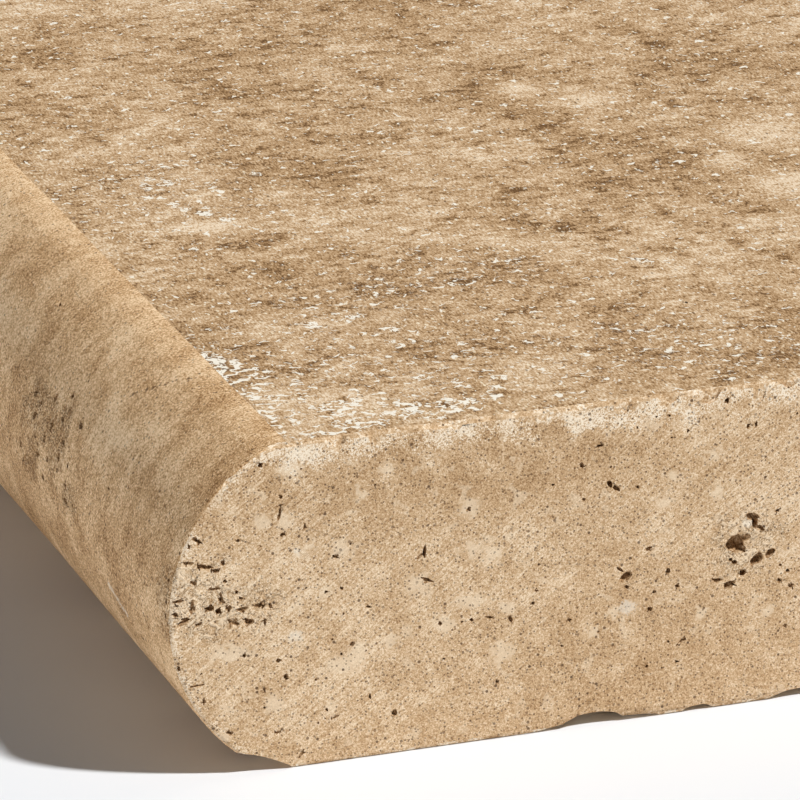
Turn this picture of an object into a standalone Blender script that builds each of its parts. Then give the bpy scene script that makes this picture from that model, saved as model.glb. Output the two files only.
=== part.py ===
"""Pool coping stone: one sawn slab of travertine with a rounded nose along one long side.

The nose faces -X, the length runs along Y and the stone lies on its bedding face at Z = 0,
with the origin under the middle of it. The end at -Y is the one whose holes and chips are known.
"""

import math
import random

import bmesh
import bpy
from mathutils import Matrix, Vector, noise

# Driving dimensions, in metres.
LENGTH = 0.610  # along the edge of the pool
DEPTH = 0.305  # from the tip of the nose to the sawn back
THICKNESS = 0.050
NOSE_REACH = 0.0157  # how far the nose curves out in front of its two arrises
NOSE_ARRIS_EASE = 0.0024  # rubbed down where the nose meets the top and the bedding face
SAWN_ARRIS_EASE = 0.0006  # just broken, on the ends and the back

# The nose is ground by hand, so it is a little wavy and its arrises wander.
NOSE_WAVE = 0.00022
ARRIS_WANDER = 0.0007
ARRIS_WANDER_REACH = 0.008
WAVE_LENGTH = 0.045
WAVE_PITCH = 0.014  # spacing of the sections that carry the waves
WANDER_QUICKNESS = 1.7  # waves of an arris to one of the nose
ARRISES_APART = 3.1  # in the noise, so that the two arrises wander on their own

# How finely the round forms are drawn.
NOSE_SEGMENTS = 22
NOSE_EASE_SEGMENTS = 3
SAWN_EASE_SEGMENTS = 2
ROUND_PROFILE = 0.5
SHARP_ANGLE = math.radians(35)
SAWN_ANGLE = math.radians(60)

# Natural holes in the near end: name, metres from the nose tip, share of the thickness up, depth,
# and the lumps that make its outline: along, up, width, height, turn in degrees.
END_HOLES = (
    (
        "cluster_main",
        0.0869,
        0.508,
        0.0022,
        (
            (0.0000, 0.0000, 0.0030, 0.0028, 20),
            (0.0014, 0.0008, 0.0019, 0.0011, 15),
            (0.0012, -0.0009, 0.0010, 0.0011, 0),
        ),
    ),
    (
        "cluster_upper",
        0.0898,
        0.582,
        0.0016,
        (
            (-0.0002, 0.0003, 0.0025, 0.0011, -12),
            (0.0001, -0.0006, 0.0010, 0.0020, 8),
            (0.0009, -0.0016, 0.0017, 0.0008, -38),
        ),
    ),
    (
        "cluster_right",
        0.0912,
        0.460,
        0.0014,
        ((-0.0009, -0.0004, 0.0027, 0.0014, 42), (0.0012, 0.0003, 0.0020, 0.0011, 33)),
    ),
    (
        "cluster_lower",
        0.0865,
        0.456,
        0.0010,
        ((-0.0003, 0.0003, 0.0007, 0.0006, 0), (0.0003, -0.0002, 0.0009, 0.0007, -25)),
    ),
    (
        "upper_pocket",
        0.0676,
        0.742,
        0.0013,
        ((-0.0004, 0.0003, 0.0009, 0.0012, 25), (0.0006, -0.0005, 0.0015, 0.0008, -38)),
    ),
    (
        "middle_pocket",
        0.0696,
        0.456,
        0.0014,
        ((0.0002, -0.0002, 0.0019, 0.0013, 28), (-0.0007, 0.0011, 0.0014, 0.0005, -38)),
    ),
    (
        "forked_crack",
        0.0386,
        0.610,
        0.0013,
        ((0.0002, 0.0002, 0.0006, 0.0021, -6), (-0.0006, -0.0004, 0.0013, 0.0005, 40)),
    ),
    (
        "split_slit",
        0.0504,
        0.376,
        0.0009,
        ((-0.0016, 0.0004, 0.0016, 0.0005, -12), (0.0016, -0.0003, 0.0006, 0.0013, 24)),
    ),
)

# Natural holes in the nose: name, metres from the near end, share of the way from the middle of
# the nose up to its arris, depth, and lumps as above, but along towards the near end.
NOSE_HOLES = (
    (
        "hairline_pits",
        0.0371,
        0.793,
        0.0006,
        (
            (-0.0030, -0.0026, 0.0006, 0.0005, 30),
            (0.0000, 0.0000, 0.0012, 0.0004, 38),
            (0.0019, 0.0018, 0.0008, 0.0004, 40),
        ),
    ),
    ("round_pit", 0.0588, 0.118, 0.0010, ((0.0000, 0.0000, 0.0010, 0.0009, 0),)),
    (
        "upright_crack",
        0.0692,
        0.345,
        0.0007,
        ((0.0000, 0.0003, 0.0004, 0.0021, 6), (0.0001, -0.0012, 0.0006, 0.0008, 0)),
    ),
    (
        "corner_slit",
        0.0111,
        -0.127,
        0.0008,
        ((-0.0008, 0.0007, 0.0006, 0.0008, 30), (0.0003, -0.0003, 0.0022, 0.0004, -42)),
    ),
)

# Chips off the arrises of the near end: name, metres from the nose tip, how far the middle lies
# inside the arris, length, height, depth, turn in degrees.
BEDDING_CHIPS = (
    ("long_chip", 0.0658, 0.0000, 0.0198, 0.0010, 0.0050, 0),
    ("long_chip_crest", 0.0648, 0.0000, 0.0104, 0.0021, 0.0056, 0),
    ("small_chip", 0.0815, 0.0000, 0.0050, 0.0009, 0.0024, 0),
    ("far_chip", 0.0982, 0.0000, 0.0112, 0.0013, 0.0040, 0),
    ("nose_chip", 0.0139, 0.0013, 0.0110, 0.0012, 0.0062, -20),
)
TOP_CHIPS = (
    ("corner_chip", 0.0160, 0.0000, 0.0046, 0.0008, 0.0010, 0),
    ("middle_chip", 0.0412, 0.0000, 0.0060, 0.0009, 0.0008, 0),
)

HOLE_SUBDIVISIONS = 2
CHIP_SUBDIVISIONS = 3
HOLE_ROUGHNESS = 0.22
CHIP_ROUGHNESS = 0.05
LUMP_SHARE = 0.6  # of the bumps on a cutter, as a share of its half width
SEED = 7

# The arc of the nose, through both arrises.
NOSE_RADIUS = (THICKNESS**2 / 4 + NOSE_REACH**2) / (2 * NOSE_REACH)
NOSE_HALF_ANGLE = math.atan2(THICKNESS / 2, NOSE_RADIUS - NOSE_REACH)
NOSE_TIP = -DEPTH / 2
NEAR_END = -LENGTH / 2


def clear_scene():
    for old in list(bpy.data.objects):
        bpy.data.objects.remove(old, do_unlink=True)


def new_collection(name):
    collection = bpy.data.collections.new(name)
    bpy.context.scene.collection.children.link(collection)
    return collection


def nose_direction(share):
    """The outward direction on the nose, share of the way from its middle to its upper arris."""
    angle = share * NOSE_HALF_ANGLE
    return Vector((-math.cos(angle), 0, math.sin(angle)))


def nose_point(share):
    centre = Vector((NOSE_TIP + NOSE_RADIUS, 0, THICKNESS / 2))
    return centre + nose_direction(share) * NOSE_RADIUS


def section_curve():
    """The slab's section as a flat outline, drawn in X and Y and drawn out to the length."""
    back = NOSE_TIP + DEPTH
    outline = [(back, 0), (back, THICKNESS)]
    for step in range(NOSE_SEGMENTS + 1):
        point = nose_point(1 - 2 * step / NOSE_SEGMENTS)
        outline.append((point.x, point.z))
    curve = bpy.data.curves.new("section", "CURVE")
    curve.dimensions = "2D"
    curve.fill_mode = "BOTH"
    curve.extrude = LENGTH / 2
    spline = curve.splines.new("POLY")
    spline.points.add(len(outline) - 1)
    for point, (x, y) in zip(spline.points, outline):
        point.co = (x, y, 0, 1)
    spline.use_cyclic_u = True
    return curve


def slab_mesh(collection):
    """The drawn-out section as one closed mesh, stood up so that its length lies along Y."""
    drawn = bpy.data.objects.new("section", section_curve())
    drawn.rotation_euler = (math.pi / 2, 0, 0)
    collection.objects.link(drawn)
    bpy.context.view_layer.update()
    depsgraph = bpy.context.evaluated_depsgraph_get()
    mesh = bpy.data.meshes.new_from_object(drawn.evaluated_get(depsgraph))
    mesh.transform(drawn.matrix_world)
    mesh.name = "coping_stone"
    bpy.data.objects.remove(drawn, do_unlink=True)
    return mesh


def is_nose_arris(edge):
    """True for the two long edges where the nose meets the top and the bedding face."""
    arris_x = NOSE_TIP + NOSE_REACH
    tolerance = SAWN_ARRIS_EASE / 10
    return all(
        abs(vert.co.x - arris_x) < tolerance
        and min(abs(vert.co.z), abs(vert.co.z - THICKNESS)) < tolerance
        for vert in edge.verts
    )


def ease(bm, edges, width, segments):
    bmesh.ops.bevel(
        bm,
        geom=edges,
        offset=width,
        offset_type="OFFSET",
        segments=segments,
        profile=ROUND_PROFILE,
        affect="EDGES",
        clamp_overlap=True,
    )


def cut_wave_sections(bm):
    """Cross sections along the length, where the waves of the nose can bend it."""
    count = max(2, round(LENGTH / WAVE_PITCH))
    for step in range(1, count):
        y = NEAR_END + LENGTH * step / count
        everything = list(bm.verts) + list(bm.edges) + list(bm.faces)
        bmesh.ops.bisect_plane(bm, geom=everything, plane_co=(0, y, 0), plane_no=(0, 1, 0))


def wave_the_nose(bm):
    """Waves on the ground nose. The flat faces stay flat, and only their front edge wanders."""
    centre = Vector((NOSE_TIP + NOSE_RADIUS, 0, THICKNESS / 2))
    arris_x = NOSE_TIP + NOSE_REACH
    for vert in bm.verts:
        if vert.co.x > arris_x + 2 * NOSE_ARRIS_EASE:
            continue
        drop = min(vert.co.z, THICKNESS - vert.co.z)
        near_arris = max(0.0, 1 - drop / ARRIS_WANDER_REACH)
        place = vert.co / WAVE_LENGTH
        side = math.copysign(1, vert.co.z - THICKNESS / 2)
        row = Vector((side * ARRISES_APART, place.y * WANDER_QUICKNESS, SEED))
        wander = noise.noise(row) * ARRIS_WANDER * near_arris
        outward = Vector((vert.co.x - centre.x, 0, vert.co.z - centre.z)).normalized()
        wave = (noise.noise(place + Vector((0, 0, SEED))) - 1) * NOSE_WAVE * (1 - near_arris)
        vert.co += outward * wave
        vert.co.x += wander


def split_bent_faces(bm):
    """Triangles on the nose, whose waves leave its four-sided faces a little twisted."""
    nose_end = NOSE_TIP + NOSE_REACH + 2 * NOSE_ARRIS_EASE
    bent = [face for face in bm.faces if all(vert.co.x < nose_end for vert in face.verts)]
    bmesh.ops.triangulate(bm, faces=bent)


def roughen(mesh, amount, half_sizes, seed):
    """Bumps on a round cutter of radius 1, which then takes its half sizes."""
    for vert in mesh.vertices:
        place = vert.co / LUMP_SHARE + Vector((seed, -seed, seed / 2))
        vert.co *= 1 + 2 * amount * noise.noise(place)
        vert.co = Vector(part * size for part, size in zip(vert.co, half_sizes))


def round_cutter(name, subdivisions, roughness, half_sizes, frame, collection, seed):
    bm = bmesh.new()
    bmesh.ops.create_icosphere(bm, subdivisions=subdivisions, radius=1)
    mesh = bpy.data.meshes.new(name)
    bm.to_mesh(mesh)
    bm.free()
    roughen(mesh, roughness, half_sizes, seed)
    cutter = bpy.data.objects.new(name, mesh)
    cutter.matrix_world = frame
    cutter.hide_render = True
    cutter.display_type = "WIRE"
    collection.objects.link(cutter)
    return cutter


def surface_frame(origin, along, out):
    """A frame on a surface: X along it, Y up it and Z out of it."""
    return Matrix.Translation(origin) @ Matrix((along, out.cross(along), out)).transposed().to_4x4()


def hole_frames():
    """Each hole with its frame on the surface."""
    for name, across, share, depth, lumps in END_HOLES:
        origin = Vector((NOSE_TIP + across, NEAR_END, share * THICKNESS))
        yield name, surface_frame(origin, Vector((1, 0, 0)), Vector((0, -1, 0))), depth, lumps
    for name, from_end, share, depth, lumps in NOSE_HOLES:
        origin = nose_point(share) + Vector((0, NEAR_END + from_end, 0))
        frame = surface_frame(origin, Vector((0, -1, 0)), nose_direction(share))
        yield name, frame, depth, lumps


def hole_cutters(collection, numbers):
    """A half sunk cutter for each lump of each natural hole."""
    cutters = []
    for name, frame, depth, lumps in hole_frames():
        for index, (along, up, width, height, turn) in enumerate(lumps):
            place = Matrix.Translation((along, up, 0)) @ Matrix.Rotation(math.radians(turn), 4, "Z")
            sizes = (width / 2, height / 2, depth * height / max(lump[3] for lump in lumps))
            cutters.append(
                round_cutter(
                    f"{name}_{index + 1}",
                    HOLE_SUBDIVISIONS,
                    HOLE_ROUGHNESS,
                    sizes,
                    frame @ place,
                    collection,
                    numbers.uniform(0, 50),
                )
            )
    return cutters


def chip_cutters(collection, numbers):
    """A cutter for each chip, on its arris or a little inside it."""
    cutters = []
    for chips, z, inward in ((BEDDING_CHIPS, 0, 1), (TOP_CHIPS, THICKNESS, -1)):
        for name, across, inside, length, height, depth, turn in chips:
            place = Matrix.Translation((NOSE_TIP + across, NEAR_END, z + inward * inside))
            cutters.append(
                round_cutter(
                    name,
                    CHIP_SUBDIVISIONS,
                    CHIP_ROUGHNESS,
                    (length / 2, depth, height),
                    place @ Matrix.Rotation(math.radians(-turn), 4, "Y"),
                    collection,
                    numbers.uniform(0, 50),
                )
            )
    return cutters


def travertine():
    """Brown travertine, honed on the nose, sawn on the ends."""
    material = bpy.data.materials.new("travertine")
    material.use_nodes = True
    shader = material.node_tree.nodes["Principled BSDF"]
    shader.inputs["Base Color"].default_value = (0.42, 0.34, 0.26, 1)
    shader.inputs["Roughness"].default_value = 0.6
    shader.inputs["Metallic"].default_value = 0.0
    return material


def coping_stone(collection, cutters):
    mesh = slab_mesh(collection)
    bm = bmesh.new()
    bm.from_mesh(mesh)
    bmesh.ops.remove_doubles(bm, verts=bm.verts, dist=0.00001)
    bmesh.ops.dissolve_limit(bm, angle_limit=math.radians(0.5), verts=bm.verts, edges=bm.edges)
    ease(bm, [edge for edge in bm.edges if is_nose_arris(edge)], NOSE_ARRIS_EASE, NOSE_EASE_SEGMENTS)
    sawn = [edge for edge in bm.edges if edge.calc_face_angle(0) > SAWN_ANGLE]
    ease(bm, sawn, SAWN_ARRIS_EASE, SAWN_EASE_SEGMENTS)
    cut_wave_sections(bm)
    wave_the_nose(bm)
    split_bent_faces(bm)
    bmesh.ops.recalc_face_normals(bm, faces=bm.faces)
    bm.to_mesh(mesh)
    bm.free()
    stone = bpy.data.objects.new("coping_stone", mesh)
    stone.data.materials.append(travertine())
    collection.objects.link(stone)
    for cutter in cutters:
        cut = stone.modifiers.new(cutter.name, "BOOLEAN")
        cut.operation = "DIFFERENCE"
        cut.solver = "EXACT"
        cut.object = cutter
    mesh.shade_smooth()
    mesh.set_sharp_from_angle(angle=SHARP_ANGLE)
    return stone


def main():
    clear_scene()
    numbers = random.Random(SEED)
    parts = new_collection("pool_coping_stone")
    cutters = new_collection("cutters")
    tools = hole_cutters(cutters, numbers) + chip_cutters(cutters, numbers)
    coping_stone(parts, tools)


main()
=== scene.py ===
"""Pool coping stone: the finish of one sawn slab of brown travertine, and the studio it lies in.

The nose faces -X and the length runs along Y. The end at -Y is the near one, which the camera sees.
Places on the stone are in millimetres: across from the tip of the nose, along from the near end
and up from the bed. The low corner of the stone's box, where all three are 0, is the near foot.
"""

import math
import random

import bpy
from mathutils import Matrix, Vector, noise


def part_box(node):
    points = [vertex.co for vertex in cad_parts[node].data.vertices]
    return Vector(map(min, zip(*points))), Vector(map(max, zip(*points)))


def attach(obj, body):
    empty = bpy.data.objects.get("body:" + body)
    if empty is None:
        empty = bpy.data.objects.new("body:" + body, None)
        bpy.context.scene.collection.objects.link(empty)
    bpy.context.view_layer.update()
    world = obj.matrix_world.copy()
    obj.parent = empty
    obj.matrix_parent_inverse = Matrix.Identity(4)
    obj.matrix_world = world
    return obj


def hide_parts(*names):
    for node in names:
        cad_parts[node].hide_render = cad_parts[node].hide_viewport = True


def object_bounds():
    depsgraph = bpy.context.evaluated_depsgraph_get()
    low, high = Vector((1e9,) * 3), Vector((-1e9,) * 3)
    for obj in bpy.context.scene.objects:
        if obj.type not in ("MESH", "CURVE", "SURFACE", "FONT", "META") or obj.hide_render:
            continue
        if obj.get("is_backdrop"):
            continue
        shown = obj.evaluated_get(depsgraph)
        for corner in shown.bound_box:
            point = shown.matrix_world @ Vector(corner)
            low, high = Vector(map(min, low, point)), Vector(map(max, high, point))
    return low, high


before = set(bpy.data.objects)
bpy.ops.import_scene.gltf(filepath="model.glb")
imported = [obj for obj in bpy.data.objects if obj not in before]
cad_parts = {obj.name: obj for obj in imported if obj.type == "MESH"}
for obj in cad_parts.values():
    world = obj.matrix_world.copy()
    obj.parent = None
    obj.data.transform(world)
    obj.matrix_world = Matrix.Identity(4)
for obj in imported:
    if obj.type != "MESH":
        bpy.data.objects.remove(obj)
cad_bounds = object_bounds()

STONE = "coping_stone"
LOW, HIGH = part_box(STONE)
MM = 0.001
SEED = 11

# The section of the slab, from the solid's box and the reach of its nose.
THICKNESS = HIGH.z - LOW.z
NOSE_REACH = 15.7 * MM
NOSE_RADIUS = (THICKNESS**2 / 4 + NOSE_REACH**2) / (2 * NOSE_REACH)
NOSE_CENTRE = Vector((LOW.x + NOSE_RADIUS, 0, LOW.z + THICKNESS / 2))
NOSE_HALF_ANGLE = math.asin(THICKNESS / 2 / NOSE_RADIUS)
NOSE_ARRIS_X = LOW.x + NOSE_REACH

# Camera, in metres from the near foot.
CAMERA_OFFSET = Vector((-0.2801, -0.8737, 0.4003))
CAMERA_YAW = math.radians(19.83)
CAMERA_PITCH = math.radians(20.43)
CAMERA_LENS = 315.0
SENSOR_WIDTH = 36.0

# Studio light: azimuth, height and spread in degrees, and strength. Azimuth 0 shines along +Y.
KEY_LIGHT = (50, 52, 4, 3.6)
FILL_LIGHT = (-80, 4, 20, 1.15)
SKY_STRENGTH = 0.11
FLOOR_SIZE = 120.0
FLOOR_COLOUR = (0.84, 0.86, 0.885)

# Small natural holes in the near end: across, up, width, height, and their turn in degrees.
END_HOLES = (
    # the crowd at the corner under the nose
    (4.6, 36.9, 1.7, 0.5, -30), (3.3, 36.2, 0.5, 0.7, 0), (5.3, 35.6, 1.1, 0.35, -35),
    (6.9, 29.3, 1.5, 0.5, 0), (8.0, 27.7, 0.6, 1.9, 5), (7.6, 25.8, 1.0, 1.0, 0),
    (1.1, 26.2, 0.78, 0.81, 0), (2.4, 24.9, 1.8, 0.81, 25), (2.2, 26.9, 1.7, 0.68, -35),
    (3.7, 27.0, 0.59, 1.9, 0), (1.6, 28.1, 1.8, 0.47, 0), (3.0, 26.0, 0.65, 0.68, 0),
    (3.1, 33.7, 1.6, 0.47, 0), (5.5, 32.9, 2, 0.68, -20), (7.2, 32.1, 1.2, 0.68, 0),
    (8.3, 33.1, 0.65, 0.94, 0), (5.7, 29.1, 1.6, 1.4, 0), (6.3, 26.4, 1.3, 1.1, 0),
    (5.2, 27.5, 0.65, 0.94, 0), (7.5, 25.1, 2, 0.94, -25), (7.7, 28.5, 1.6, 1.2, 0),
    (9.0, 26.1, 1, 0.81, 0), (9.8, 23.8, 2.1, 0.54, -25), (11.3, 25.7, 1.7, 0.54, 10),
    (12.2, 23.6, 1.6, 0.94, 0), (13.7, 25.9, 1.8, 0.68, 0), (13.7, 24.4, 0.65, 2, -5),
    (14.5, 23.2, 0.39, 1.2, 0), (10.3, 28.4, 0.65, 0.68, 0), (11.0, 27.3, 0.65, 0.68, 0),
    (13.6, 27.1, 0.78, 0.68, 0), (15.4, 25.6, 0.45, 0.94, 0), (1.6, 29.5, 0.91, 0.68, 0),
    (4.6, 24.2, 0.91, 0.54, 20), (8.6, 30.3, 0.65, 0.54, 0), (4.0, 30.6, 1, 0.54, -30),
    # left part
    (16.5, 17.0, 0.9, 0.5, 0), (17.7, 14.4, 0.6, 1.0, 0), (14.4, 12.8, 0.4, 0.8, 0),
    (5.3, 12.3, 0.5, 0.8, 0), (9.1, 6.9, 1.1, 0.5, 0), (16.3, 5.9, 1.0, 0.4, 0),
    (20.0, 2.2, 1.3, 0.5, 60), (11.4, 18.5, 0.6, 0.6, 0), (4.2, 14.8, 1.6, 0.4, 0),
    (1.6, 17.9, 0.5, 0.7, 0), (25.0, 7.0, 1.2, 0.4, 25), (22.5, 6.5, 0.4, 0.4, 0),
    (17.0, 42.0, 0.5, 0.7, 0), (16.9, 39.8, 0.4, 2.0, -10), (17.3, 36.2, 0.8, 0.5, 30),
    (25.2, 31.8, 1.0, 0.6, 0), (10.6, 36.2, 0.6, 0.5, 0), (20.6, 37.0, 0.35, 1.0, 0),
    (31.2, 41.9, 0.35, 0.6, 0), (23.8, 26.6, 0.6, 0.5, 0), (26.1, 26.8, 0.6, 0.5, 0),
    (30.2, 23.4, 0.9, 0.4, 0), (24.7, 19.1, 0.4, 0.4, 0), (30.4, 9.5, 0.5, 0.7, 0),
    (34.1, 6.4, 0.9, 0.8, 0),
    # middle
    (55.9, 22.4, 0.7, 0.5, 0), (55.4, 20.5, 0.6, 0.5, 0), (60.9, 17.1, 0.9, 0.5, 0),
    (45.9, 19.2, 0.6, 0.6, 0), (39.2, 26.2, 1.7, 0.6, -20), (56.2, 26.4, 0.4, 0.4, 0),
    (55.7, 29.0, 0.35, 0.3, 0), (69.9, 21.0, 0.6, 0.7, 0), (67.2, 40.0, 0.4, 0.4, 0),
    (49.9, 9.0, 0.6, 0.7, 0), (58.3, 38.4, 0.5, 0.5, 0),
    # right part
    (73.5, 17.1, 0.85, 0.8, 0), (74.2, 19.7, 0.6, 0.6, 0), (76.3, 22.6, 0.7, 0.85, 0),
    (77.8, 20.1, 0.8, 0.7, 0), (73.3, 26.5, 0.9, 0.7, 0), (84.1, 20.2, 1.4, 0.6, 0),
    (85.9, 19.2, 2.0, 1.0, 35), (88.0, 20.7, 1.0, 1.3, 0), (93.9, 18.8, 0.8, 0.7, 0),
    (95.7, 17.7, 0.9, 0.7, 0), (93.9, 21.2, 0.5, 0.5, 0), (93.4, 29.8, 0.95, 0.7, 0),
    (76.6, 43.3, 0.5, 0.5, 0), (88.5, 43.6, 0.5, 0.8, 0), (89.7, 43.7, 0.4, 0.8, 0),
    (74.2, 46.8, 0.4, 0.4, 0), (76.2, 46.7, 0.4, 0.4, 0), (77.9, 8.2, 0.7, 0.6, 0),
    (78.5, 11.3, 1.5, 0.5, 35), (94.9, 11.5, 0.5, 0.7, 0),
)

# Small natural holes in the nose: along, degrees above the middle of the nose, width, height, turn.
NOSE_HOLES = (
    (59.7, 18.2, 1.6, 1.3, 10), (67.4, 15.9, 1.8, 1.0, 30), (69.5, 22.3, 1.4, 0.7, 30),
    (66.4, 20.8, 1.0, 1.0, 0), (62.0, 25.8, 1.3, 0.8, 0), (56.9, 30.5, 1.2, 0.8, 0),
    (49.6, 25.8, 1.5, 1.0, 0), (49.0, 1.0, 1.6, 0.8, 0), (54.2, 12.4, 1.1, 1.6, 35),
    (53.6, 17.4, 1.1, 1.1, 20), (65.7, 10.4, 1.5, 0.7, 0), (63.4, 6.2, 1.3, 1.2, 15),
    (72.1, 3.4, 1.2, 1.3, 0), (53.9, 7.9, 1.2, 0.7, 0), (49.6, 6.2, 1.3, 0.6, 0),
    (49.7, 12.4, 0.9, 0.7, 0), (61.5, 12.6, 1.2, 1.0, 0), (70.5, -1.1, 1.2, 0.9, 0),
    (56.6, 22.6, 1.1, 0.9, 0), (60.4, 0.6, 1.1, 0.9, 20), (31.8, 18.4, 0.8, 0.5, 0),
    (16.6, -18.6, 1.0, 0.9, 0), (1.3, 11.7, 0.6, 1.8, 0), (1.2, 6.2, 0.6, 1.1, 20),
    (1.3, 1.6, 0.8, 0.9, 0), (78.9, 47.1, 0.8, 0.7, 0), (26.5, 33.6, 0.5, 0.5, 0),
    (54.9, 37.4, 0.5, 0.5, 0), (43.8, 3.1, 0.5, 0.5, 0), (66.9, -5.0, 0.6, 0.6, 0),
    (59.4, -6.0, 0.6, 0.6, 0),
)

# Holes scattered over each face: how many, and their smallest and largest width.
SCATTER = {
    "near": (150, 0.30, 0.75),
    "far": (120, 0.4, 2.2),
    "nose": (90, 0.30, 0.8),
    "top": (60, 0.4, 1.0),
    "back": (150, 0.4, 2.6),
}
HOLE_SPACING = 1.12  # least distance between two holes, as a share of their widths added
HOLE_DEPTHS = (0.8, 1.2)  # least and greatest, as a share of the smaller of width and height
SCATTER_SHAPES = (0.5, 1.3)  # least and greatest height of a scattered hole for its width
SMALL_ONES = 3  # the higher, the more of the scattered holes are small
EDGE_MARGIN = 3 * MM  # the least that a scattered hole stays clear of an edge of its face
LOW_MARGIN = 2 * MM  # the same at the ends of the nose, and at the top of the near end
TIP_MARGIN = 1.5 * MM  # the same at the tip of the nose
TOP_MARGIN = 4 * MM  # the same at the arris between the top and the nose
NOSE_SPAN = (-0.9, 0.85)  # from the middle of the nose down and up, as shares of the way

# Two arms make the outline of a larger hole ragged.
ARMS_FROM = 0.7  # least width of a hole with arms
ARM_REACH = 0.48  # from the middle of the hole, as a share of its size
ARMS_APART = (1.8, 3.4)  # in radians round the hole
ARM_LENGTHS = (0.20, 0.40)  # half lengths and half widths as shares of the hole's size
ARM_WIDTHS = (0.08, 0.16)
ARM_DEPTH = 0.6  # as a share of the hole's depth

# Nibbles along the arrises: least and greatest length, reach into each of the two faces, and gap.
# The first reach is into the flat or nose face beside the arris, the second down from it.
TOP_END_NIBBLES = ((1.5, 6.0), (0.25, 0.7), (0.7, 2.4), (0.0, 3.0))
SAWN_NIBBLES = ((0.8, 3.6), (0.25, 0.8), (0.25, 0.8), (0.1, 1.6))
BED_NIBBLES = ((2.0, 8.0), (0.25, 0.7), (0.25, 0.7), (0.5, 9.0))
GROUND_NIBBLES = ((0.8, 2.4), (0.10, 0.3), (0.10, 0.3), (2.0, 9.0))
NOSE_END_NIBBLES = ((0.8, 3.0), (0.2, 0.6), (0.2, 0.6), (0.1, 2.0))
FIRST_NIBBLE = (1.5, 4.0)  # how far from the start of the arris
LAST_NIBBLE = 3.0  # how far from its end
NIBBLE_STRIDE = 1.25  # from one start to the next, as a share of the length, before the gap

# The lumps that holes and nibbles are cut with.
LUMP_DETAIL = 2
LUMP_QUICKNESS = 1.4  # of the noise on a lump of radius 1
HOLE_LUMPS = 0.75
NIBBLE_LUMPS = 0.6

# How a face of the solid is told from the holes and chips beside it.
FLAT = 0.999  # least part of a flat face's normal along one axis
SKIN = 0.06 * MM
NOSE_WAVES = 0.4 * MM
NOSE_FACING = 0.9  # least part of a nose face's normal that points out from the axis
GROUND_ARRIS = 4.5 * MM
GROUND_SKIN = 1.3 * MM
ENDWAYS = 0.15  # greatest part of a ground face's normal along the length
SAWN_ARRIS = 0.7 * MM
CHIPS_REACH = 7.0 * MM
BED_CHIPS_UP = 4.5 * MM
TOP_CHIPS_DOWN = 2.0 * MM

# How the mesh is cleaned and shaded.
SAME_PLACE = 0.001 * MM
SLIVER = 0.01 * MM
SMOOTH_UP_TO = math.radians(20)

# Stone colours from dark to pale, as the places on a ramp of tone and their linear colour.
STONE_COLOURS = (
    (0.00, (0.160, 0.080, 0.028)),
    (0.25, (0.360, 0.209, 0.093)),
    (0.50, (0.530, 0.340, 0.177)),
    (0.75, (0.680, 0.483, 0.293)),
    (1.00, (0.880, 0.706, 0.505)),
)
CALCITE = (0.97, 0.91, 0.78)
# Painted highlight: the golden colour of bright dots that stand in for light off crystals.
PAINTED_GLINT = (0.95, 0.82, 0.60)
CREAM = (0.82, 0.65, 0.455)
# Painted shade: the near-black brown of pinholes and fine cracks too small to cut, standing in for the
# shade inside them.
HOLE_SHADE_BROWN = (0.10, 0.050, 0.020)
# Painted light: a warm cast on the nose, standing in for the warm light on its shaded side.
WARM_LIGHT_CAST = (1.07, 1.0, 0.895)  # on the nose, by how much each colour counts for more

# Cream spots in the near end: across, up, half width, half height.
CREAM_SPOTS = (
    (14.3, 38.6, 0.9, 0.9), (17.6, 38.4, 1.1, 1.1), (16.5, 34.1, 0.6, 0.6), (29.0, 40.8, 0.8, 0.8),
    (33.1, 44.1, 0.8, 0.8), (18.3, 46.0, 1.8, 0.9), (21.3, 34.0, 0.8, 0.8), (26.1, 32.4, 1.4, 1.4),
    (75.8, 33.4, 1.1, 0.7), (76.9, 37.5, 0.8, 0.8), (83.9, 34.0, 0.8, 1.1), (83.1, 39.6, 0.9, 0.9),
    (67.8, 17.2, 0.8, 0.8), (81.6, 15.4, 0.9, 0.9), (92.1, 14.1, 1.1, 0.8), (46.0, 30.1, 1.1, 1.1),
    (51.2, 20.3, 1.1, 0.8), (49.0, 28.9, 1.2, 1.2), (37.5, 26.1, 1.5, 1.5), (45.3, 22.3, 2.2, 0.9),
    (41.8, 19.4, 1.2, 1.2), (50.6, 13.4, 1.5, 1.5), (64.7, 14.9, 0.9, 0.9), (45.3, 36.7, 1.4, 1.4),
    (33.6, 17.6, 0.9, 0.9), (9.3, 19.1, 3.0, 0.9), (26.3, 15.2, 2.1, 1.4), (28.7, 16.4, 1.2, 1.5),
    (15.9, 10.5, 1.2, 1.2), (7.9, 6.0, 1.1, 1.1),
)
WHITE_SPOTS = (
    (19.4, 33.4, 0.55, 0.55), (88.7, 28.5, 0.6, 0.6), (19.1, 20.4, 0.8, 0.7), (70.0, 17.9, 1.2, 0.9),
)

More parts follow.
